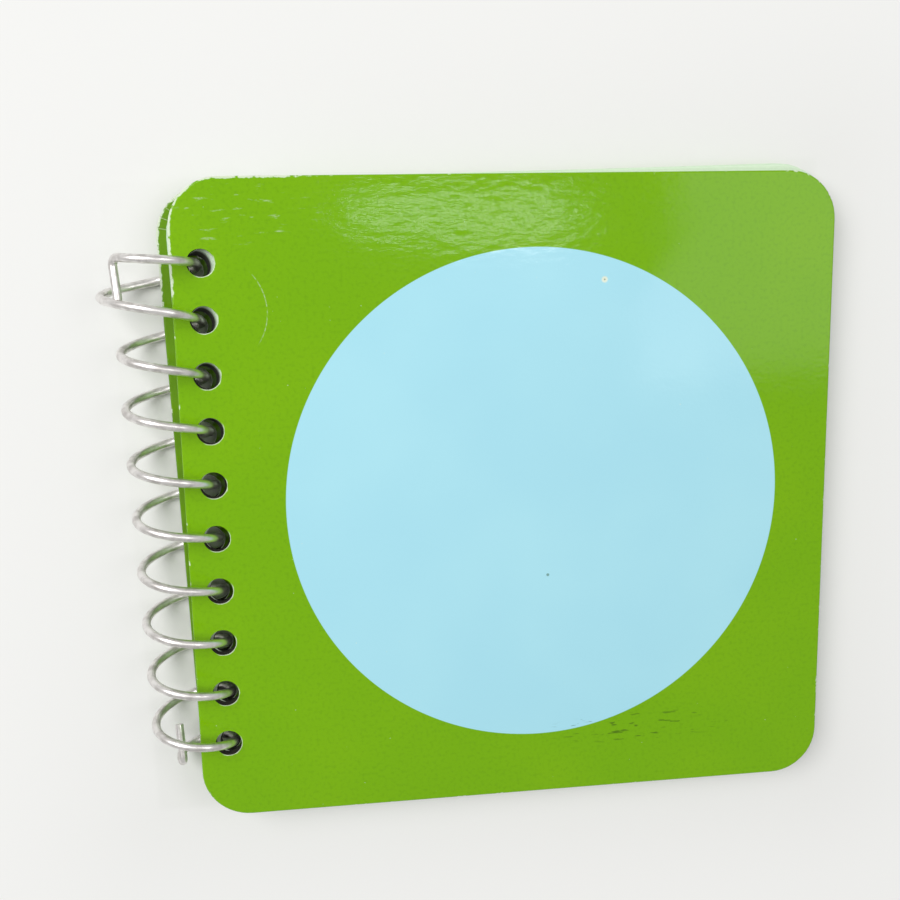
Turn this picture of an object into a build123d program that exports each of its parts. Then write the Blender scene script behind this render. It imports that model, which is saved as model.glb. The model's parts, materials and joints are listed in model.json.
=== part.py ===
from build123d import *
from math import asin, atan2, cos, degrees, hypot, pi, radians, sin, sqrt
import os

# A small square notebook on a spiral wire, lying on its back cover.
# Four pieces: two wrapped board covers, the block of leaves and one continuous steel wire.
# The wire is a rising helix that goes once through each of the ten holes.
# Millimetres, +Z up, +X away from the spine, +Y towards the head of the page.

# Covers and leaves
COVER_WIDTH = 156.0
COVER_HEIGHT = 152.0
CORNER_RADIUS = 11.5
BOARD = 2.4
BLOCK = 4.4
EDGE_ROUND = 0.5

# The row of punched holes
HOLE_COUNT = 10
PITCH = 12.7
HOLE_PLAY = 0.8
HOLE_TO_SPINE_EDGE = 6.75

# The wire
WIRE_RADIUS = 1.0
COIL_RADIUS = 9.2
FACE_ABOVE_AXIS = 2.4
POINTS_A_TURN = 18

# The second turn from the head is sprung wide, to the spine's side
WIDE_TURN = HOLE_COUNT - 2
WIDE_TURN_PULL = 3.4
WIDE_TURN_POWER = 8

# The two crimped ends
CRIMP_BEND = 2.0
HEAD_END_ANGLE = 138.0
HEAD_END_RISE = 0.4
HEAD_TAIL = 7.4
FOOT_END_ANGLE = -90.0
FOOT_CURL_RADIUS = 4.8
FOOT_CURL_TURN = 112.0
FOOT_CURL_POINTS = 5
FOOT_TAIL = 7.6

# The front cover hangs askew on the wire, by the play in its holes
FRONT_SKEW = 1.3


def board_levels():
    """The heights of the four faces, above the wire's axis: back, leaves, front, top."""
    top = FACE_ABOVE_AXIS
    inner = top - BOARD
    under = inner - BLOCK
    return under - BOARD, under, inner, top


def wire_reach(radius, level):
    """How far from its axis a turn of that radius crosses a level."""
    return sqrt(radius**2 - level**2)


def wire_sides(low, high):
    """The nearest and furthest that the wire comes to its axis between two levels."""
    nearest = min(max(0.0, low), high)
    inside = min(wire_reach(COIL_RADIUS - WIRE_RADIUS, level) for level in (low, high))
    return inside, wire_reach(COIL_RADIUS + WIRE_RADIUS, nearest)


def hole_middle(low, high):
    """Where a piece's holes sit, so that the slanting wire has as much room on each side."""
    return sum(wire_sides(low, high)) / 2


def hole_radius():
    """One punch for all pieces. The wire slants most in the back cover, which needs the most."""
    inside, outside = wire_sides(*board_levels()[:2])
    return (outside - inside) / 2 + HOLE_PLAY


def wire_turn(low, high):
    """The angle, in degrees about the axis, at which the wire is in the middle of a piece."""
    return degrees(asin((low + high) / 2 / COIL_RADIUS))


def sheet(low, high, rounding=0.0):
    """One punched piece between two levels. Its row of holes is where the wire passes it."""
    front = wire_turn(*board_levels()[2:])
    lag = PITCH * (wire_turn(low, high) - front) / 360
    hole_x = hole_middle(low, high)
    middle = hole_x - HOLE_TO_SPINE_EDGE + COVER_WIDTH / 2
    outline = Pos(middle, lag) * RectangleRounded(COVER_WIDTH, COVER_HEIGHT, CORNER_RADIUS)
    body = Pos(0, 0, low) * extrude(outline, high - low)
    if rounding:
        rims = body.edges().group_by(Axis.Z)
        body = fillet(rims[0] + rims[-1], rounding)
    for number in range(HOLE_COUNT):
        y = lag + PITCH * (number - (HOLE_COUNT - 1) / 2)
        body -= Pos(hole_x, y, (low + high) / 2) * Cylinder(hole_radius(), 2 * (high - low))
    return body


def front_cover():
    """The front board, turned a little about the middle of its row of holes."""
    low, high = board_levels()[2:]
    pivot = hole_middle(low, high)
    return Pos(pivot) * Rot(0, 0, -FRONT_SKEW) * Pos(-pivot) * sheet(low, high, EDGE_ROUND)


def helix_height(angle):
    """How far along the spine the wire is. It rises slower past the last hole at the head."""
    front = wire_turn(*board_levels()[2:])
    last = front + 360 * (HOLE_COUNT - 1)
    plain = min(angle, last) - front
    extra = max(angle - last, 0) * HEAD_END_RISE
    return PITCH * ((plain + extra) / 360 - (HOLE_COUNT - 1) / 2)


def helix_point(angle):
    """A point of the wire's centre line on the helix."""
    front = wire_turn(*board_levels()[2:])
    turn, along = divmod(angle - front, 360)
    pull = 0.0
    if turn == WIDE_TURN:
        pull = WIDE_TURN_PULL * sin(pi * along / 360) ** WIDE_TURN_POWER
    x = COIL_RADIUS * cos(radians(angle)) - pull
    z = COIL_RADIUS * sin(radians(angle))
    return Vector(x, helix_height(angle), z)


def foot_point(turned):
    """A point of the tighter curl at the foot, by the angle turned since it left the helix."""
    start = helix_point(FOOT_END_ANGLE)
    x = start.X - FOOT_CURL_RADIUS * sin(radians(turned))
    z = start.Z + FOOT_CURL_RADIUS * (1 - cos(radians(turned)))
    arc = FOOT_CURL_RADIUS * radians(turned)
    fall = PITCH * arc / (2 * pi * COIL_RADIUS)
    return Vector(x, start.Y - fall, z)


def crimp(tip, heading, side, tail):
    """A sharp bend out of the wire's end towards side, and the straight tail after it."""
    level = (heading - side * heading.dot(side)).normalized()
    bend = TangentArc(tip, tip + (level + side) * CRIMP_BEND, tangent=heading)
    last = bend @ 1
    return [bend, Line(last, last + (bend % 1) * tail)]


def binding_coil():
    """The whole wire: tail, bend, curl, helix, bend, tail."""
    step = 360 / POINTS_A_TURN
    last = HEAD_END_ANGLE + 360 * (HOLE_COUNT - 1)
    steps = round((last - FOOT_END_ANGLE) / step)
    curl = [1 - n / FOOT_CURL_POINTS for n in range(FOOT_CURL_POINTS)]
    points = [foot_point(FOOT_CURL_TURN * share) for share in curl]
    points += [helix_point(FOOT_END_ANGLE + (last - FOOT_END_ANGLE) * n / steps)
               for n in range(steps + 1)]
    run = Spline(points)
    foot = crimp(run @ 0, (run % 0) * -1, Vector(0, 1, 0), FOOT_TAIL)
    head = crimp(run @ 1, run % 1, Vector(0, -1, 0), HEAD_TAIL)
    path = Wire([foot[1], foot[0], run, head[0], head[1]])
    tip = path @ 0
    section = Plane(origin=tip, z_dir=path % 0) * Circle(WIRE_RADIUS)
    wire = sweep(section, path)
    print("wire length", round(path.length, 2),
          "volume over section", round(wire.volume / (pi * WIRE_RADIUS**2), 2))
    return wire


def resting_tilt():
    """How far the notebook leans, resting on the wire and on the back cover's fore edge."""
    low, high = board_levels()[:2]
    fore = hole_middle(low, high) - HOLE_TO_SPINE_EDGE + COVER_WIDTH - EDGE_ROUND
    drop = COIL_RADIUS + WIRE_RADIUS - EDGE_ROUND
    rise = -low - EDGE_ROUND
    return degrees(asin(drop / hypot(fore, rise)) - atan2(rise, fore))


def place(pieces):
    """Lean the pieces to rest and move them so that the origin is under the middle."""
    tilt = resting_tilt()
    leaned = {name: Rot(0, tilt, 0) * piece for name, piece in pieces.items()}
    box = Compound(children=[Part(piece.wrapped) for piece in leaned.values()]).bounding_box()
    shift = Pos(-box.center().X, -box.center().Y, -box.min.Z)
    axis = shift * Pos(0, 0, 0)
    print("axis of the wire", [round(v, 4) for v in axis.position], "tilt", round(tilt, 4))
    return {name: shift * piece for name, piece in leaned.items()}


low, under, inner, top = board_levels()
notebook = place({
    "front_cover": front_cover(),
    "page_block": sheet(under, inner),
    "back_cover": sheet(low, under, EDGE_ROUND),
    "binding_coil": binding_coil(),
})
os.makedirs("parts", exist_ok=True)
for name, piece in notebook.items():
    export_step(piece, f"parts/{name}.step")
    print(name, round(piece.volume, 1), piece.is_valid)
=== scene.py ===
# %% [markdown]
# A small square notebook on a spiral wire
#
# It has two boards wrapped in glossy green paper, a block of leaves and one steel wire.
# It lies on its back cover, and the camera looks down on it.
# The construction model gives every place and size. This script gives the looks.

# %% The frame
import bmesh
import bpy
import json
from math import asin, atan2, cos, degrees, pi, radians, sin
from mathutils import Matrix, Quaternion, Vector


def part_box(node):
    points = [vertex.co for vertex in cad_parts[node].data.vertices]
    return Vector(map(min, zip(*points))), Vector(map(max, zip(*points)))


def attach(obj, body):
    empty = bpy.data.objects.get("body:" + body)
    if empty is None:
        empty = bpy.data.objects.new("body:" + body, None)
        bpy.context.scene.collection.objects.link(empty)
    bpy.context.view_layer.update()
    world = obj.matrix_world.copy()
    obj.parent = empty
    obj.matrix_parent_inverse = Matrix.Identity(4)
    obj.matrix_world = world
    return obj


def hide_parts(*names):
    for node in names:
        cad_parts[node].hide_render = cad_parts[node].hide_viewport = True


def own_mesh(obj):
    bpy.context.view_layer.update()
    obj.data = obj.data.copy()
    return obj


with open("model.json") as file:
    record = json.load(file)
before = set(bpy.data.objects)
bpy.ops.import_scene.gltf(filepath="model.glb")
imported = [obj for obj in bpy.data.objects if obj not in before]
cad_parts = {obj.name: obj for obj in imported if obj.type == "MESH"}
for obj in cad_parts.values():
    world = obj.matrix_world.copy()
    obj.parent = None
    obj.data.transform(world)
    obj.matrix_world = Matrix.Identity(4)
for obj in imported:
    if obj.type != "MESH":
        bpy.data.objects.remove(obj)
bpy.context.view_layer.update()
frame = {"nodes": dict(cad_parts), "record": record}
scene = bpy.context.scene
print("pieces of the construction model:", sorted(frame["nodes"]))

# %% [markdown]
# Sizes
#
# These are the sizes that the construction model was drawn with, in millimetres.
# The wire turns about an axis that runs along the spine. All the drawing below is done
# level and about that axis, and one matrix then puts it where the notebook rests.

# %% Sizes
MM = 0.001
WIDTH, HEIGHT, CORNER = 156.0, 152.0, 11.5
BOARD, BLOCK, FACE = 2.4, 4.4, 2.4
HOLES, PITCH, HOLE_PLAY, HOLE_EDGE = 10, 12.7, 0.8, 6.75
WIRE, COIL = 1.0, 9.2
SKEW = radians(1.3)

cover_inside = FACE - BOARD
leaves_under = cover_inside - BLOCK
back_outside = leaves_under - BOARD


def wire_turn(low, high):
    """The wire's angle where it is in the middle of a piece, in degrees."""
    return degrees(asin((low + high) / 2 / COIL))


def wire_sides(low, high):
    """The nearest and furthest that the wire comes to its axis between two levels."""
    inside = min(((COIL - WIRE) ** 2 - level**2) ** 0.5 for level in (low, high))
    nearest = min(max(0.0, low), high)
    return inside, ((COIL + WIRE) ** 2 - nearest**2) ** 0.5


def hole_middle(low, high):
    """The distance from the wire's axis to a piece's row of holes."""
    return sum(wire_sides(low, high)) / 2


def lag(low, high):
    """How far a piece lies towards the foot, because the wire reaches it earlier."""
    return PITCH * (wire_turn(low, high) - front_turn) / 360


front_turn = wire_turn(cover_inside, FACE)
back_sides = wire_sides(back_outside, leaves_under)
HOLE_RADIUS = (back_sides[1] - back_sides[0]) / 2 + HOLE_PLAY
leaf_lag = lag(leaves_under, cover_inside)

# %% [markdown]
# Where the notebook rests
#
# The wire stands proud of the back cover, so the notebook leans by about a degree.
# The lean is read from the largest upper face of the block of leaves, and the wire's axis
# from the hinge that the covers turn on.

# %% The resting place
block = frame["nodes"]["page_block"]
block_low, block_high = (Vector(corner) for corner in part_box("page_block"))
upper = max((f for f in block.data.polygons if f.normal.z > 0.9), key=lambda f: f.area).normal
lean = atan2(upper.x, upper.z)
hinge = Vector(frame["record"]["behaviour"]["joints"][0]["pos_m"])
spine = Vector((hinge.x, (block_low.y + block_high.y) / 2 - leaf_lag * MM, hinge.z))
PLACE = Matrix.Translation(spine) @ Matrix.Rotation(lean, 4, "Y") @ Matrix.Scale(MM, 4)
print("leans by", round(degrees(lean), 3), "degrees about", [round(v, 5) for v in spine])


def board_frame(low, high, outward, skew=0.0):
    """A board's own frame: its origin is the middle of its outer face, in level millimetres."""
    pivot = Vector((hole_middle(low, high), lag(low, high), high if outward > 0 else low))
    middle = Matrix.Translation((WIDTH / 2 - HOLE_EDGE, 0, 0))
    return Matrix.Translation(pivot) @ Matrix.Rotation(-skew, 4, "Z") @ middle


front_frame = board_frame(cover_inside, FACE, 1, SKEW)
back_frame = board_frame(back_outside, leaves_under, -1)

# %% [markdown]
# Colours and nodes
#
# Colours are written as they look on a screen, and one function turns them to linear light.
# One other function adds a node, with its settings and its links.


# %% Helpers for materials
MATH, VECTOR, RANGE = "ShaderNodeMath", "ShaderNodeVectorMath", "ShaderNodeMapRange"
NOISE, MIX, MAPPING = "ShaderNodeTexNoise", "ShaderNodeMix", "ShaderNodeMapping"
SEPARATE, COMBINE = "ShaderNodeSeparateXYZ", "ShaderNodeCombineXYZ"
SOFT = {"interpolation_type": "SMOOTHSTEP"}
COLOURS = {"data_type": "RGBA"}


def colour(code):
    """An sRGB hex colour as linear light, with alpha."""
    parts = [int(code[n : n + 2], 16) / 255 for n in (0, 2, 4)]
    return [c / 12.92 if c < 0.04045 else ((c + 0.055) / 1.055) ** 2.4 for c in parts] + [1.0]


def link(tree, value, socket):
    """Links an output to an input. A node stands for its first output in use."""
    if isinstance(value, bpy.types.Node):
        value = next(output for output in value.outputs if output.enabled)
    tree.links.new(value, socket)


def add(tree, kind, *inputs, **settings):
    """Adds a node. Its inputs come in their order, or by name in a dictionary."""
    node = tree.nodes.new(kind)
    for name, value in settings.items():
        setattr(node, name, value)
    in_use = [socket for socket in node.inputs if socket.enabled]
    pairs = zip(in_use, inputs)
    if inputs and isinstance(inputs[0], dict):
        pairs = [(node.inputs[name], value) for name, value in inputs[0].items()]
    for socket, value in pairs:
        if isinstance(value, (bpy.types.Node, bpy.types.NodeSocket)):
            link(tree, value, socket)
        else:
            socket.default_value = value
    return node


def new_material(name):
    """An empty material with its surface shader."""
    made = bpy.data.materials.new(name)
    made.use_nodes = True
    return made, made.node_tree, made.node_tree.nodes["Principled BSDF"]


# %% [markdown]
# Printed paper over board
#
# Covers like these are grey board, wrapped in paper that is printed and then laminated with a
# clear glossy film. The film follows every small wave of the glue under it, so its highlight
# breaks up. Where an edge has rubbed, the white of the paper shows through.
# The pattern has to stay on the board when the board creeps along the wire, so each board
# carries its own place in millimetres as an attribute, and the material reads that.
# Every mark below is a mask between 0 and 1, drawn from distances in millimetres.

# %% The print and its marks
PRINT_GREEN, LIGHT_GREEN, DARK_GREEN = colour("76AF00"), colour("7BB200"), colour("609500")
PRINT_BLUE, LIGHT_BLUE = colour("A9E0EF"), colour("AEE4F1")
# The pale fold colour is a painted highlight on the pleats at the corners.
# The turned-in colour is the print painted darker, as painted shade between cover and leaves.
SHADED_TURNED_IN, LINING, PLEAT_HIGHLIGHT = colour("659210"), colour("558207"), colour("A9C77A")
PAPER_WHITE, SCUFF_DARK = colour("E3EBD8"), colour("3C5A08")
CIRCLE_AT, CIRCLE_RADIUS, PRINT_BLUR = (5.0, -0.6), 59.9, 0.08
TURN_IN, PLEATS = 9.0, 14
FILM_GLOSS, FILM_IOR = 0.25, 1.5
ROW_HALF = PITCH * HOLES / 2

# The middle of each oval on the cover, and how far it reaches across and along.
WORN_CORNER = ((-70, 68), (30, 26))
SCRATCHED = ((-59, 47), (5, 9))
STREAKED = ((-62, 68), (22, 8))
SCUFFED = ((31, -60.5), (27, 4.5))
GATHERED = ((-6, 72), (56, 20))
PIT, PIT_CORE = ((21.5, 51.5), (0.9, 0.9)), ((21.5, 51.5), (0.25, 0.25))
DOT = ((7.5, -19.5), (0.45, 0.45))

# The long curved scratch: its middle, its radius and its width.
CURVED_SCRATCH = ((-70, 46), 13.0, 0.2)


# %% Patterns by distance
def rim_distance(tree, place):
    """How far a point is from the board's rounded outline: below zero inside it."""
    flat = add(tree, VECTOR, place, (1, 1, 0), operation="MULTIPLY")
    size = add(tree, VECTOR, flat, operation="ABSOLUTE")
    core = (WIDTH / 2 - CORNER, HEIGHT / 2 - CORNER, 0)
    past = add(tree, VECTOR, size, core, operation="SUBTRACT")
    past_x, past_y, _ = add(tree, SEPARATE, past).outputs
    out = add(tree, VECTOR, past, (0, 0, 0), operation="MAXIMUM")
    corner = add(tree, VECTOR, out, operation="LENGTH")
    side = add(tree, MATH, past_x, past_y, operation="MAXIMUM")
    inside = add(tree, MATH, side, 0.0, operation="MINIMUM")
    whole = add(tree, MATH, corner, inside, operation="ADD")
    return add(tree, MATH, whole, CORNER, operation="SUBTRACT")


def hole_rings(tree, x, y):
    """The distance to the nearest hole's middle, and the places across and along from it."""
    across = add(tree, MATH, x, WIDTH / 2 - HOLE_EDGE, operation="ADD")
    turns = add(tree, MATH, y, PITCH, operation="DIVIDE")
    part = add(tree, MATH, turns, operation="FRACT")
    middle = add(tree, MATH, part, 0.5, operation="SUBTRACT")
    along = add(tree, MATH, middle, PITCH, operation="MULTIPLY")
    spot = add(tree, COMBINE, across, along)
    return add(tree, VECTOR, spot, operation="LENGTH"), across, along


def beside_row(tree, y):
    """1 along the row of holes, and 0 past its two ends."""
    size = add(tree, MATH, y, operation="ABSOLUTE")
    return add(tree, RANGE, size, ROW_HALF, ROW_HALF - 0.3, **SOFT)


def corner_pleats(tree, x, y, rim):
    """The paper's folds where it is gathered round a corner: thin lines fanning from it."""
    size_x = add(tree, MATH, x, operation="ABSOLUTE")
    size_y = add(tree, MATH, y, operation="ABSOLUTE")
    across = add(tree, MATH, size_x, WIDTH / 2 - CORNER, operation="SUBTRACT")
    along = add(tree, MATH, size_y, HEIGHT / 2 - CORNER, operation="SUBTRACT")
    turn = add(tree, MATH, along, across, operation="ARCTAN2")
    fan = add(tree, MATH, turn, PLEATS, operation="MULTIPLY")
    wave = add(tree, MATH, fan, operation="SINE")
    swing = add(tree, MATH, wave, operation="ABSOLUTE")
    mask = add(tree, RANGE, swing, 0.35, 0.05, **SOFT)
    for value, low, high in ((across, 0.0, 0.8), (along, 0.0, 0.8), (rim, -6.0, -4.5)):
        part = add(tree, RANGE, value, low, high, **SOFT)
        mask = add(tree, MATH, mask, part, operation="MULTIPLY")
    return mask


def away_from(tree, place, centre):
    """The distance from a point on the cover, whatever the height."""
    off = add(tree, VECTOR, place, (*centre, 0), operation="SUBTRACT")
    flat = add(tree, VECTOR, off, (1, 1, 0), operation="MULTIPLY")
    return add(tree, VECTOR, flat, operation="LENGTH")


def oval(tree, place, centre, reach):
    """1 in the middle of an oval, fading to 0 at its edge."""
    off = add(tree, VECTOR, place, (*centre, 0), operation="SUBTRACT")
    share = add(tree, VECTOR, off, (1 / reach[0], 1 / reach[1], 0), operation="MULTIPLY")
    squared = add(tree, VECTOR, share, share, operation="DOT_PRODUCT")
    return add(tree, RANGE, squared, 1.0, 0.3, **SOFT)


def arc(tree, place, centre, radius, width):
    """A thin scratch along a circle: 1 on its line."""
    away = away_from(tree, place, centre)
    error = add(tree, MATH, away, radius, operation="SUBTRACT")
    size = add(tree, MATH, error, operation="ABSOLUTE")
    return add(tree, RANGE, size, width, 0.0, **SOFT)


def flecks(tree, place, size, detail, low, high):
    """Soft flecks of noise about that many millimetres across, where the noise passes low."""
    noise = add(tree, NOISE, place, 1 / size, detail)
    return add(tree, RANGE, noise, low, high, **SOFT)


def drawn_out(tree, place, degrees_turned, stretch):
    """The place turned and squeezed, so that a pattern on it runs in dashes."""
    inputs = {"Vector": place, "Rotation": (0, 0, radians(degrees_turned)), "Scale": (*stretch, 1)}
    return add(tree, MAPPING, inputs)


def product(tree, *parts):
    """Masks multiplied together: 1 only where all are."""
    mask = parts[0]
    for part in parts[1:]:
        mask = add(tree, MATH, mask, part, operation="MULTIPLY")
    return mask


def either(tree, *masks):
    """The strongest of several masks."""
    mask = masks[0]
    for other in masks[1:]:
        mask = add(tree, MATH, mask, other, operation="MAXIMUM")
    return mask


def mixture(tree, start, *shares):
    """A sum: each pair is a value and the share of it that is added."""
    for value, share in shares:
        start = add(tree, MATH, value, share, start, operation="MULTIPLY_ADD")
    return start


# %% Laminated paper
def laminated_paper(name, with_circle):
    """Glossy printed paper, with its print, its rubbed edges and its uneven film."""
    made, tree, shader = new_material(name)
    place = add(tree, "ShaderNodeAttribute", attribute_name="board_place").outputs["Vector"]
    x, y, z = add(tree, SEPARATE, place).outputs
    rim = rim_distance(tree, place)
    ring, across, along = hole_rings(tree, x, y)
    in_row = beside_row(tree, y)
    outer = add(tree, RANGE, z, -0.7, -0.45, **SOFT)
    inner = add(tree, RANGE, z, 0.5 - BOARD, 0.25 - BOARD, **SOFT)

    # The print: a field of green, and on the front one circle of blue.
    cloud = add(tree, NOISE, place, 1 / 38.0, 2.0)
    fibre = add(tree, NOISE, place, 1 / 0.9, 4.0)
    lighter = add(tree, RANGE, cloud, 0.35, 0.7, **SOFT)
    tint = add(tree, MIX, lighter, PRINT_GREEN, LIGHT_GREEN, **COLOURS)
    darker = product(tree, add(tree, RANGE, fibre, 0.45, 0.75, **SOFT), 0.35)
    tint = add(tree, MIX, darker, tint, DARK_GREEN, **COLOURS)
    if with_circle:
        away = away_from(tree, place, CIRCLE_AT)
        blur = (CIRCLE_RADIUS + PRINT_BLUR, CIRCLE_RADIUS - PRINT_BLUR)
        disc = add(tree, RANGE, away, *blur, **SOFT)
        lighter = add(tree, RANGE, cloud, 0.3, 0.8, **SOFT)
        blue = add(tree, MIX, lighter, PRINT_BLUE, LIGHT_BLUE, **COLOURS)
        tint = add(tree, MIX, product(tree, disc, outer), tint, blue, **COLOURS)

    # The inner face: paper turned in round the edge and gathered at the corners, then a lining.
    # The turned-in paper is painted darker than the print, as painted shade between cover and
    # leaves.
    lined = add(tree, RANGE, rim, -TURN_IN, -TURN_IN - 0.3, **SOFT)
    inside = add(tree, MIX, lined, SHADED_TURNED_IN, LINING, **COLOURS)
    pleats = corner_pleats(tree, x, y, rim)
    # The pale colour on the pleats' folds is a painted highlight.
    inside = add(tree, MIX, product(tree, pleats, 0.6), inside, PLEAT_HIGHLIGHT, **COLOURS)
    tint = add(tree, MIX, inner, tint, inside, **COLOURS)

    # White where the rim has rubbed and where the punch has torn the paper.
    chips = add(tree, NOISE, place, 1 / 1.6, 6.0)
    patch = add(tree, NOISE, place, 1 / 14.0, 2.0)
    edge = add(tree, RANGE, rim, -1.5, -0.15, **SOFT)
    corner = oval(tree, place, *WORN_CORNER)
    wear = mixture(tree, 0.0, (edge, 0.42), (corner, 0.16), (patch, 0.22), (chips, 0.55))
    rubbed = product(tree, add(tree, RANGE, wear, 0.86, 0.93, **SOFT), edge, 0.8)
    bitten = mixture(tree, ring, (chips, -0.5))
    punched = add(tree, RANGE, bitten, HOLE_RADIUS, HOLE_RADIUS - 0.2, **SOFT)
    towards = add(tree, MATH, across, along, operation="SUBTRACT")
    low_side = add(tree, RANGE, towards, 0.6, 2.6, **SOFT)
    torn = product(tree, punched, low_side, in_row, 0.75)

    # Fine white scratches and specks, and the pit in the circle.
    curved = product(tree, arc(tree, place, *CURVED_SCRATCH), oval(tree, place, *SCRATCHED))
    streaks = flecks(tree, drawn_out(tree, place, 14, (0.3, 1.3)), 1.4, 4.0, 0.60, 0.74)
    streaks = product(tree, streaks, oval(tree, place, *STREAKED), outer)
    broken = add(tree, RANGE, fibre, 0.35, 0.6, **SOFT)
    lines = product(tree, either(tree, curved, streaks), broken, 0.4)
    specks = product(tree, flecks(tree, place, 0.8, 1.0, 0.80, 0.83), 0.5)
    on_print = product(tree, outer, float(with_circle))
    pit = product(tree, oval(tree, place, *PIT), on_print)
    pale = either(tree, rubbed, torn, lines, specks, pit)
    tint = add(tree, MIX, pale, tint, PAPER_WHITE, **COLOURS)

    # Dark dashes where the cover was scuffed, and two dark dots.
    dashes = flecks(tree, drawn_out(tree, place, -24, (0.35, 1.6)), 1.5, 2.0, 0.60, 0.66)
    scuffs = product(tree, oval(tree, place, *SCUFFED), dashes, 0.7, outer)
    dots = either(tree, oval(tree, place, *PIT_CORE), oval(tree, place, *DOT))
    dark = either(tree, scuffs, product(tree, dots, on_print, 0.6))
    tint = add(tree, MIX, dark, tint, SCUFF_DARK, **COLOURS)
    link(tree, tint, shader.inputs["Base Color"])

    # The film is glossy and a little smeared, and bare paper is matt.
    smears = add(tree, NOISE, place, 1 / 5.0, 3.0)
    link(tree, mixture(tree, 0.07, (smears, 0.06), (pale, 0.45)), shader.inputs["Roughness"])
    shader.inputs["IOR"].default_value = FILM_IOR
    shader.inputs["Specular IOR Level"].default_value = FILM_GLOSS

    # Its small waves, finer and deeper where it is gathered along the head, in millimetres.
    waves = add(tree, NOISE, place, 1 / 30.0, 1.0)
    tooth = add(tree, NOISE, place, 1 / 0.9, 2.0)
    ripple = add(tree, NOISE, drawn_out(tree, place, 0, (0.45, 1.0)), 1 / 2.2, 4.0)
    depth = mixture(tree, 0.015, (oval(tree, place, *GATHERED), 0.075))
    pressed = add(tree, RANGE, ring, HOLE_RADIUS + 1.3, HOLE_RADIUS, **SOFT)
    height = mixture(tree, product(tree, ripple, depth),
                     (tooth, 0.014), (waves, 0.12), (pale, -0.03),
                     (product(tree, pressed, in_row), -0.07),
                     (product(tree, pleats, inner), -0.15))
    bump = add(tree, "ShaderNodeBump", {"Height": height, "Distance": MM, "Strength": 1.0})
    link(tree, bump, shader.inputs["Normal"])
    return made


front_paper = laminated_paper("laminated_paper_with_circle", True)
back_paper = laminated_paper("laminated_paper_plain", False)

# %% [markdown]
# Greyboard
#
# The punched holes show the board's own layers. It is pressed from waste paper, so it is a dull
# grey brown with darker flecks, and it reflects almost nothing. Its colours here are painted much
# darker than that, as painted shade inside the holes.

# %% Greyboard
# Painted shade: both board colours are far darker than greyboard, for the shade inside the holes.
SHADED_GREYBOARD_DARK, SHADED_GREYBOARD_LIGHT = colour("27251E"), colour("4A463C")
greyboard, tree, shader = new_material("greyboard_cut_painted_shade")
place = add(tree, "ShaderNodeAttribute", attribute_name="board_place").outputs["Vector"]
layers = add(tree, MAPPING, {"Vector": place, "Scale": (0.5, 0.5, 4.0)})
waste = flecks(tree, layers, 0.8, 5.0, 0.3, 0.7)
tint = add(tree, MIX, waste, SHADED_GREYBOARD_DARK, SHADED_GREYBOARD_LIGHT, **COLOURS)
link(tree, tint, shader.inputs["Base Color"])
shader.inputs["Roughness"].default_value = 0.9
bump = add(tree, "ShaderNodeBump", {"Height": waste, "Distance": 0.1 * MM, "Strength": 1.0})
link(tree, bump, shader.inputs["Normal"])

# %% [markdown]
# The two boards
#
# Their shape is the construction model's own: a flat board with rounded corners, eased rims and
# a row of holes. A copy of it is merged into one closed skin, so that its rims can be shaded
# smooth. The walls of the holes get the greyboard, painted dark as painted shade in the holes.
# A cover on a spiral wire turns like a nut on a screw: half a turn moves it half a pitch along
# the spine.

# %% The boards
SHARP = radians(32)
UPRIGHT, FLAT = 0.5, 0.9999
WALL_REACH = 0.3


def board(name, node, body, paper, own_frame, outward):
    """A board in its own place, with its place in millimetres stored on its points."""
    mesh = frame["nodes"][node].data.copy()
    mesh.name = name
    skin = bmesh.new()
    skin.from_mesh(mesh)
    bmesh.ops.remove_doubles(skin, verts=skin.verts, dist=0.001 * MM)
    skin.to_mesh(mesh)
    skin.free()
    if "custom_normal" in mesh.attributes:
        mesh.attributes.remove(mesh.attributes["custom_normal"])
    to_own = (PLACE @ own_frame).inverted()
    to_own_turn = to_own.to_3x3()
    own = [to_own @ v.co for v in mesh.vertices]
    stored = mesh.attributes.new("board_place", "FLOAT_VECTOR", "POINT")
    for item, point in zip(stored.data, own):
        item.vector = (point.x, point.y, point.z * outward)
    mesh.materials.clear()
    mesh.materials.append(paper)
    mesh.materials.append(greyboard)
    for face in mesh.polygons:
        middle = sum((own[i] for i in face.vertices), Vector()) / len(face.vertices)
        number = round(middle.y / PITCH - 0.5)
        hole = Vector((HOLE_EDGE - WIDTH / 2, (number + 0.5) * PITCH))
        level_share = abs((to_own_turn @ face.normal).normalized().z)
        at_hole = (middle.xy - hole).length < HOLE_RADIUS + WALL_REACH
        face.material_index = int(level_share < UPRIGHT and at_hole)
        face.use_smooth = level_share < FLAT
    mesh.set_sharp_from_angle(angle=SHARP)
    piece = bpy.data.objects.new(name, mesh)
    scene.collection.objects.link(piece)
    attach(piece, body)
    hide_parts(node)
    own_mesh(piece)
    print(name, len(mesh.polygons), "faces")


board("front_cover_board", "front_cover", "front_cover", front_paper, front_frame, 1)
board("back_cover_board", "back_cover", "back_cover", back_paper, back_frame, -1)

# %% [markdown]
# The leaves
#
# The block is a stack of card leaves. One leaf is drawn as an outline with its holes, filled
# and given a thickness. Geometry Nodes repeat it up the stack. Each copy hangs where the wire
# passes its own level, and is shifted a little, because leaves on a loose wire never lie exactly
# in line. The upper leaves turn with the front cover, as far as the play in their holes lets them.
# At the spine the leaves are a little shorter than the boards, which overhang them.

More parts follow.
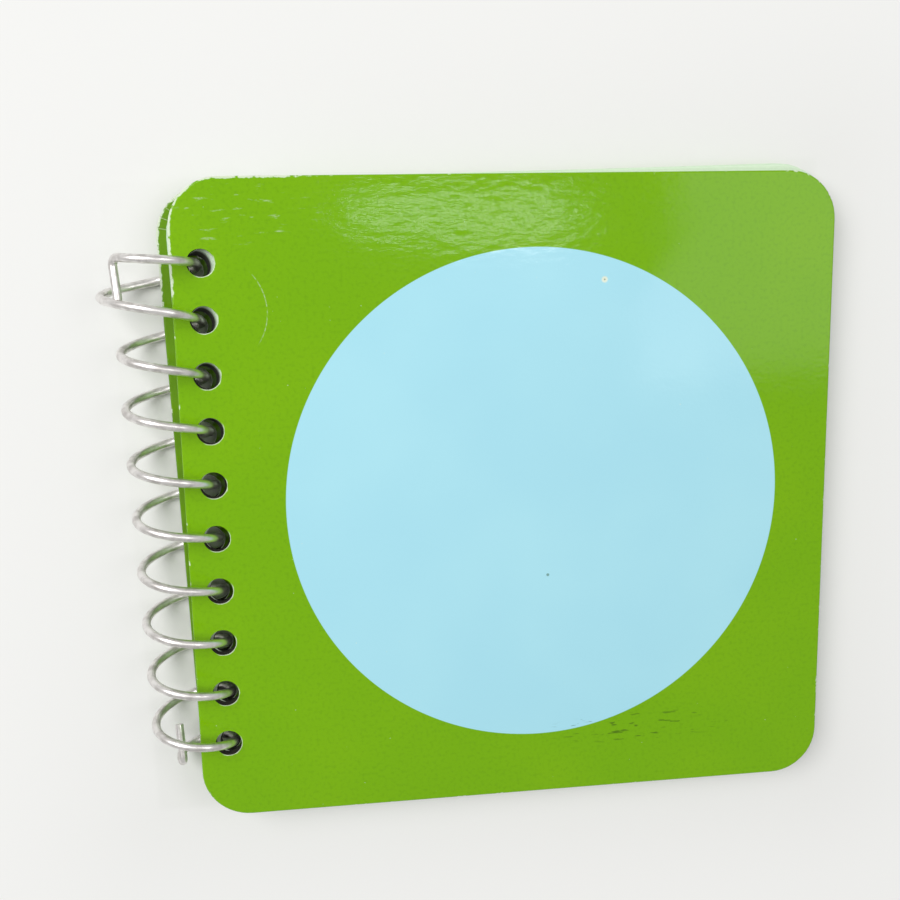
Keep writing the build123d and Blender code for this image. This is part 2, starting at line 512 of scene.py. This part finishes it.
# %% Leaf paper
LEAF_SHADE, LEAF_PALE, LEAF_FIBRE = colour("C3D9BD"), colour("DAEBD4"), colour("F1F7EC")
HOLE_SHADE = colour("43473A")
leaf_paper, tree, shader = new_material("uncoated_paper")
place = add(tree, "ShaderNodeTexCoord").outputs["Object"]
in_mm = add(tree, MAPPING, {"Vector": place, "Scale": (1 / MM, 1 / MM, 1 / MM)})
level_place = add(tree, MAPPING, {"Vector": place, "Location": spine, "Rotation": (0, lean, 0),
                                  "Scale": (MM, MM, MM)}, vector_type="TEXTURE")
level_x, level_y, level_z = add(tree, SEPARATE, level_place).outputs
by_leaf = add(tree, COMBINE, {"Z": level_z})
tone = flecks(tree, by_leaf, 0.4, 2.0, 0.35, 0.65)
tint = add(tree, MIX, tone, LEAF_SHADE, LEAF_PALE, **COLOURS)
fibres = product(tree, flecks(tree, in_mm, 0.7, 5.0, 0.30, 0.75), 0.2)
tint = add(tree, MIX, fibres, tint, LEAF_FIBRE, **COLOURS)

# The walls of the holes lie in shade between the leaves, below the upper face.
board_middle = hole_middle(leaves_under, cover_inside) + WIDTH / 2 - HOLE_EDGE
row_x = add(tree, MATH, level_x, board_middle, operation="SUBTRACT")
row_y = add(tree, MATH, level_y, leaf_lag, operation="SUBTRACT")
from_hole = hole_rings(tree, row_x, row_y)[0]
near_hole = add(tree, RANGE, from_hole, HOLE_RADIUS + 0.9, HOLE_RADIUS + 0.2, **SOFT)
below_top = add(tree, RANGE, level_z, cover_inside - 0.05, cover_inside - 0.25, **SOFT)
in_hole = product(tree, near_hole, beside_row(tree, row_y), below_top)
tint = add(tree, MIX, in_hole, tint, HOLE_SHADE, **COLOURS)
link(tree, tint, shader.inputs["Base Color"])
shader.inputs["Roughness"].default_value = 0.75
tooth = add(tree, NOISE, in_mm, 1 / 0.5, 4.0)
bump = add(tree, "ShaderNodeBump", {"Height": tooth, "Distance": 0.05 * MM, "Strength": 0.6})
link(tree, bump, shader.inputs["Normal"])

# %% One leaf
LEAVES, LEAF_GAP, LEAF_SHIFT = 20, 0.03, 0.15
LEAF_FAN, LEAF_INSET = radians(0.75), 1.2
CORNER_POINTS, HOLE_POINTS = 9, 20
SORTED_BY = Vector((1.0, 1e3, 1e6))


def leaf_mesh(thickness):
    """One punched leaf, level, about the middle of its row of holes, with its underside at 0."""
    half = Vector((WIDTH / 2 - CORNER, HEIGHT / 2 - CORNER))
    middle = Vector((WIDTH / 2 - HOLE_EDGE, 0))
    outline = []
    for quarter, (side_x, side_y) in enumerate(((1, 1), (-1, 1), (-1, -1), (1, -1))):
        for n in range(CORNER_POINTS):
            angle = pi / 2 * (quarter + n / (CORNER_POINTS - 1))
            inset = LEAF_INSET if side_x < 0 else 0.0
            outline.append(middle + Vector((side_x * half.x + CORNER * cos(angle) + inset,
                                            side_y * half.y + CORNER * sin(angle))))
    loops = [outline]
    for number in range(HOLES):
        centre = Vector((0, PITCH * (number - (HOLES - 1) / 2)))
        turns = [2 * pi * n / HOLE_POINTS for n in range(HOLE_POINTS)]
        loops.append([centre + HOLE_RADIUS * Vector((cos(t), sin(t))) for t in turns])
    leaf = bmesh.new()
    for loop in loops:
        points = [leaf.verts.new((p.x, p.y, 0)) for p in loop]
        for n, point in enumerate(points):
            leaf.edges.new((points[n - 1], point))
    bmesh.ops.triangle_fill(leaf, edges=leaf.edges[:], use_beauty=True)
    raised = bmesh.ops.extrude_face_region(leaf, geom=leaf.faces[:])["geom"]
    upper = [item for item in raised if isinstance(item, bmesh.types.BMVert)]
    bmesh.ops.translate(leaf, verts=upper, vec=(0, 0, thickness))
    bmesh.ops.recalc_face_normals(leaf, faces=leaf.faces[:])

    # Extruding gives the walls no set order, so all are sorted: up, then along, then across.
    leaf.verts.sort(key=lambda point: point.co.dot(SORTED_BY))
    leaf.faces.sort(key=lambda face: face.calc_center_median().dot(SORTED_BY))
    mesh = bpy.data.meshes.new("leaf")
    leaf.to_mesh(mesh)
    leaf.free()
    return mesh


# %% Helpers for Geometry Nodes
def new_tree(name, sizes):
    """A Geometry Nodes tree with a geometry in and out, and named sizes."""
    tree = bpy.data.node_groups.new(name, "GeometryNodeTree")
    tree.interface.new_socket("Geometry", in_out="INPUT", socket_type="NodeSocketGeometry")
    for size, kind in sizes.items():
        tree.interface.new_socket(size, in_out="INPUT", socket_type=kind)
    tree.interface.new_socket("Geometry", in_out="OUTPUT", socket_type="NodeSocketGeometry")
    return tree, add(tree, "NodeGroupInput")


def close_tree(tree, geometry, material):
    """Ends a tree: copies made real, and a material set."""
    real = add(tree, "GeometryNodeRealizeInstances", geometry)
    done = add(tree, "GeometryNodeSetMaterial", {"Geometry": real, "Material": material})
    add(tree, "NodeGroupOutput", done)


def grow(name, data, tree, values):
    """Runs a tree on a mesh or a curve, and returns a plain object with its place in its mesh."""
    seed = bpy.data.objects.new(name + "_seed", data)
    scene.collection.objects.link(seed)
    modifier = seed.modifiers.new("grow", "NODES")
    modifier.node_group = tree
    for item in tree.interface.items_tree:
        if item.name in values and item.in_out == "INPUT":
            modifier[item.identifier] = values[item.name]
    evaluated = seed.evaluated_get(bpy.context.evaluated_depsgraph_get())
    mesh = bpy.data.meshes.new_from_object(evaluated)
    bpy.data.objects.remove(seed)
    mesh.name = name
    mesh.transform(PLACE)
    piece = bpy.data.objects.new(name, mesh)
    scene.collection.objects.link(piece)
    print(name, len(mesh.polygons), "faces")
    return piece


# %% The stack of leaves
tree, given = new_tree("stack_of_leaves", {"Count": "NodeSocketInt", "Step": "NodeSocketFloat",
                                           "Shift": "NodeSocketFloat", "Fan": "NodeSocketFloat"})
rise = add(tree, COMBINE, {"Z": given.outputs["Step"]})
lowest = add(tree, COMBINE, {"Z": leaves_under + LEAF_GAP / 2})
stack = add(tree, "GeometryNodeMeshLine", {"Count": given.outputs["Count"],
                                           "Start Location": lowest, "Offset": rise})

# Each leaf is threaded where the wire crosses its level, and turned by the screw's rise to there.
level = add(tree, SEPARATE, add(tree, "GeometryNodeInputPosition")).outputs["Z"]
squared = add(tree, MATH, level, level, operation="MULTIPLY")
rest = add(tree, MATH, COIL**2, squared, operation="SUBTRACT")
out_to_wire = add(tree, MATH, rest, operation="SQRT")
share = add(tree, MATH, level, COIL, operation="DIVIDE")
angle = add(tree, MATH, share, operation="ARCSINE")
past_front = add(tree, MATH, angle, radians(front_turn), operation="SUBTRACT")
along_wire = add(tree, MATH, past_front, PITCH / (2 * pi), operation="MULTIPLY")
on_wire = add(tree, COMBINE, out_to_wire, along_wire)
threaded = add(tree, "GeometryNodeSetPosition", {"Geometry": stack, "Offset": on_wire})

# Each is then nudged by chance, and the upper ones turn about the row of holes.
chance = add(tree, "FunctionNodeRandomValue", {"Min": (-1, -1, 0), "Max": (1, 1, 0), "Seed": 7},
             data_type="FLOAT_VECTOR")
nudge = add(tree, VECTOR, chance, given.outputs["Shift"], operation="SCALE")
loose = add(tree, "GeometryNodeSetPosition", {"Geometry": threaded, "Offset": nudge})
number = add(tree, "GeometryNodeInputIndex")
height_share = add(tree, MATH, number, LEAVES - 1, operation="DIVIDE")
bend = add(tree, MATH, height_share, 2.0, operation="POWER")
spin = add(tree, COMBINE, {"Z": add(tree, MATH, bend, given.outputs["Fan"], operation="MULTIPLY")})
copies = add(tree, "GeometryNodeInstanceOnPoints", {"Points": loose, "Rotation": spin,
                                                    "Instance": given.outputs["Geometry"]})
close_tree(tree, copies, leaf_paper)

leaf_step = BLOCK / LEAVES
leaves = grow("leaves", leaf_mesh(leaf_step - LEAF_GAP), tree,
              {"Count": LEAVES, "Step": leaf_step, "Shift": LEAF_SHIFT, "Fan": -LEAF_FAN})
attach(leaves, "pages")
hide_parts("page_block")

# %% [markdown]
# The wire
#
# One length of bright drawn steel wire is wound into a helix and screwed through the holes.
# Each end is then crimped over, so that it can't screw back out. The second turn from the head
# has been pulled wide. The line is worked out turn by turn from the pitch, and Geometry Nodes
# give it a round section.

# %% Drawn steel wire
WIRE_BRIGHT, WIRE_DULL = colour("EFECEA"), colour("C9C5C2")
steel, tree, shader = new_material("drawn_steel_wire")
place = add(tree, "ShaderNodeTexCoord").outputs["Object"]
in_mm = add(tree, MAPPING, {"Vector": place, "Scale": (1 / MM, 1 / MM, 1 / MM)})
dull = flecks(tree, in_mm, 2.5, 5.0, 0.35, 0.7)
tint = add(tree, MIX, dull, WIRE_BRIGHT, WIRE_DULL, **COLOURS)
link(tree, tint, shader.inputs["Base Color"])
shader.inputs["Metallic"].default_value = 1.0
link(tree, mixture(tree, 0.30, (dull, 0.12)), shader.inputs["Roughness"])
die_marks = add(tree, NOISE, in_mm, 1 / 0.35, 3.0)
bump = add(tree, "ShaderNodeBump", {"Height": die_marks, "Distance": 0.006 * MM, "Strength": 0.7})
link(tree, bump, shader.inputs["Normal"])

# %% The wire's line
WIDE_TURN, WIDE_PULL, WIDE_POWER = HOLES - 2, 3.4, 8
HEAD_ANGLE, HEAD_RISE, HEAD_TAIL = 138.0, 0.4, 7.4
FOOT_ANGLE, FOOT_CURL, FOOT_TURN, FOOT_TAIL = -90.0, 4.8, 112.0, 7.6
CRIMP, CRIMP_STEPS = 2.0, 8
STEP, CURL_STEPS = 6.0, 16
SIDES, CUT_END_SHARP = 16, radians(50)


def helix_point(angle):
    """A point of the wire's line, level, by its angle in degrees."""
    last = front_turn + 360 * (HOLES - 1)
    turned = min(angle, last) - front_turn + max(angle - last, 0) * HEAD_RISE
    turn, along = divmod(angle - front_turn, 360)
    pull = WIDE_PULL * sin(pi * along / 360) ** WIDE_POWER if turn == WIDE_TURN else 0.0
    height = PITCH * (turned / 360 - (HOLES - 1) / 2)
    return Vector((COIL * cos(radians(angle)) - pull, height, COIL * sin(radians(angle))))


def foot_point(turned):
    """A point of the tighter curl at the foot."""
    start = helix_point(FOOT_ANGLE)
    bend = radians(turned)
    fall = PITCH * FOOT_CURL * bend / (2 * pi * COIL)
    return start + Vector((-FOOT_CURL * sin(bend), -fall, FOOT_CURL * (1 - cos(bend))))


def crimp(tip, heading, side, tail):
    """The points of a sharp bend towards side and of the straight tail after it."""
    level = (heading - side * heading.dot(side)).normalized()
    first = atan2(heading.dot(side), heading.dot(level))
    last = pi / 2 - first
    radius = CRIMP * 2**0.5 / (2 * sin((last - first) / 2))
    points = []
    for n in range(1, CRIMP_STEPS + 1):
        angle = first + (last - first) * n / CRIMP_STEPS
        bent = (sin(angle) - sin(first)) * level + (cos(first) - cos(angle)) * side
        points.append(tip + radius * bent)
    return points + [points[-1] + tail * (cos(last) * level + sin(last) * side)]


head_end = HEAD_ANGLE + 360 * (HOLES - 1)
steps = round((head_end - FOOT_ANGLE) / STEP)
line = [foot_point(FOOT_TURN * (1 - n / CURL_STEPS)) for n in range(CURL_STEPS)]
line += [helix_point(FOOT_ANGLE + (head_end - FOOT_ANGLE) * n / steps) for n in range(steps + 1)]
foot = crimp(line[0], (line[0] - line[1]).normalized(), Vector((0, 1, 0)), FOOT_TAIL)
head = crimp(line[-1], (line[-1] - line[-2]).normalized(), Vector((0, -1, 0)), HEAD_TAIL)
line = foot[::-1] + line + head

path = bpy.data.curves.new("wire_line", "CURVE")
path.dimensions = "3D"
strand = path.splines.new("POLY")
strand.points.add(len(line) - 1)
for point, spot in zip(strand.points, line):
    point.co = (*spot, 1.0)

# %% The wire's section
tree, given = new_tree("round_wire", {"Radius": "NodeSocketFloat", "Sides": "NodeSocketInt"})
section = add(tree, "GeometryNodeCurvePrimitiveCircle", {"Resolution": given.outputs["Sides"],
                                                         "Radius": given.outputs["Radius"]})
skin = add(tree, "GeometryNodeCurveToMesh", {"Curve": given.outputs["Geometry"],
                                             "Profile Curve": section, "Fill Caps": True})
close_tree(tree, skin, steel)
wire = grow("spiral_wire", path, tree, {"Radius": WIRE, "Sides": SIDES})
wire.data.shade_smooth()
wire.data.set_sharp_from_angle(angle=CUT_END_SHARP)
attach(wire, "pages")
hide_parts("binding_coil")

# %% [markdown]
# Floor, light and camera
#
# The notebook lies on a white table in soft light, so the table is plain and keeps the shadow.
# One large soft lamp hangs past the head and the fore edge. The film mirrors it there as a pale
# veil. A narrow one is mirrored at the head, where the small waves break it up. The third, from
# the spine's side, gives most of the light.

# %% The table
FLOOR_HALF = 12.0
TABLE_PAINT, BACKGROUND = colour("E9E9E7"), colour("F7F7F5")
GLOW_SHARE = 0.6
FADE_FROM, FADE_TO, SHADE_REACH, RIM = 0.12, 0.8, 0.05, 0.002

floor_mesh = bpy.data.meshes.new("floor")
corners = [(x * FLOOR_HALF, y * FLOOR_HALF, 0) for x, y in ((-1, -1), (1, -1), (1, 1), (-1, 1))]
floor_mesh.from_pydata(corners, [], [(0, 1, 2, 3)])
floor = bpy.data.objects.new("floor", floor_mesh)
scene.collection.objects.link(floor)
white, tree, shader = new_material("white_table")
shader.inputs["Base Color"].default_value = TABLE_PAINT
shader.inputs["Roughness"].default_value = 0.9

# What is seen of the table is mixed with an even white: more of it far off, where the lamps
# don't reach, less of it near the notebook, and none under it, which lies in its own shade.
place = add(tree, "ShaderNodeTexCoord").outputs["Object"]
size = add(tree, VECTOR, place, operation="ABSOLUTE")
past = add(tree, VECTOR, size, (block_high.x, block_high.y, 0), operation="SUBTRACT")
out = add(tree, VECTOR, past, (0, 0, 0), operation="MAXIMUM")
away = add(tree, VECTOR, out, operation="LENGTH")
far_off = add(tree, RANGE, away, FADE_FROM, FADE_TO, **SOFT)
close_by = add(tree, RANGE, away, -SHADE_REACH / 2, SHADE_REACH, **SOFT)
uncovered = add(tree, RANGE, away, 0.0, RIM, **SOFT)
share = mixture(tree, 0.0, (far_off, 1 - GLOW_SHARE), (close_by, GLOW_SHARE))
rays = add(tree, "ShaderNodeLightPath").outputs
seen = either(tree, rays["Is Camera Ray"], rays["Is Glossy Ray"], rays["Is Transmission Ray"])
glow = add(tree, "ShaderNodeEmission", BACKGROUND, 1.0)
both = add(tree, "ShaderNodeMixShader", product(tree, share, uncovered, seen), shader, glow)
link(tree, both, tree.nodes["Material Output"].inputs["Surface"])
floor_mesh.materials.append(white)

# %% The room
AMBIENT, MIRRORED = 0.35, 0.60

# The camera sees the full white past the table, a mirroring face sees less of it, and as light
# it is dimmer still, so that the lamps make the shadows.
world = bpy.data.worlds.new("studio")
scene.world = world
world.use_nodes = True
tree = world.node_tree
sky = tree.nodes["Background"]
sky.inputs["Color"].default_value = BACKGROUND
rays = add(tree, "ShaderNodeLightPath").outputs
mirrored = product(tree, rays["Is Glossy Ray"], MIRRORED)
bright = either(tree, rays["Is Camera Ray"], rays["Is Transmission Ray"], mirrored, AMBIENT)
link(tree, bright, sky.inputs["Strength"])


# %% Lamps
def soft_lamp(name, spot, aim, width, height, power):
    """A flat soft lamp that faces a point. One that hangs level has its own spot as its aim."""
    light = bpy.data.lights.new(name, "AREA")
    light.shape = "RECTANGLE"
    light.size, light.size_y, light.energy = width, height, power
    lamp = bpy.data.objects.new(name, light)
    lamp.location = spot
    if aim != spot:
        lamp.rotation_euler = (Vector(aim) - Vector(spot)).to_track_quat("-Z", "Y").to_euler()
    scene.collection.objects.link(lamp)


VEIL_SPOT, STRIP_SPOT, SIDE_SPOT = (0.66, 0.23, 0.90), (0.14, 0.150, 0.90), (-0.52, 0.36, 0.80)
soft_lamp("veil_lamp", VEIL_SPOT, VEIL_SPOT, 0.55, 0.62, 2.2)
soft_lamp("strip_lamp", STRIP_SPOT, STRIP_SPOT, 0.24, 0.04, 0.34)
soft_lamp("side_lamp", SIDE_SPOT, (-0.02, 0.0, 0.0), 0.6, 0.6, 7.9)

# %% [markdown]
# The camera
#
# Its place and turn were solved from the outline of the front cover and from the circle and the
# holes on it. They are given from the middle of the front cover, in millimetres, with x to the
# right, y down the page and z into it.

# %% Camera
FOCAL_PIXELS, FRAME_PIXELS, SENSOR = 1045.13, 900, 36.0
TURN = Vector((0.1662, -0.1198, -0.0311))
SHIFT = Vector((16.0645, 11.5851, 251.4416))

to_camera = Quaternion(TURN.normalized(), TURN.length).to_matrix().to_4x4()
to_camera.translation = SHIFT
page_axes = Matrix.Diagonal((1, -1, -1, 1))
seen_from = page_axes @ to_camera.inverted() @ page_axes
eye = PLACE @ front_frame @ seen_from
camera_data = bpy.data.cameras.new("camera")
camera_data.lens = FOCAL_PIXELS / FRAME_PIXELS * SENSOR
camera_data.sensor_width = SENSOR
camera_data.clip_start = 0.01
camera = bpy.data.objects.new("camera", camera_data)
camera.matrix_world = Matrix.Translation(eye.translation) @ eye.to_3x3().normalized().to_4x4()
scene.collection.objects.link(camera)
scene.camera = camera
scene.view_settings.view_transform = "Standard"
print("camera at", [round(v, 4) for v in camera.matrix_world.translation])
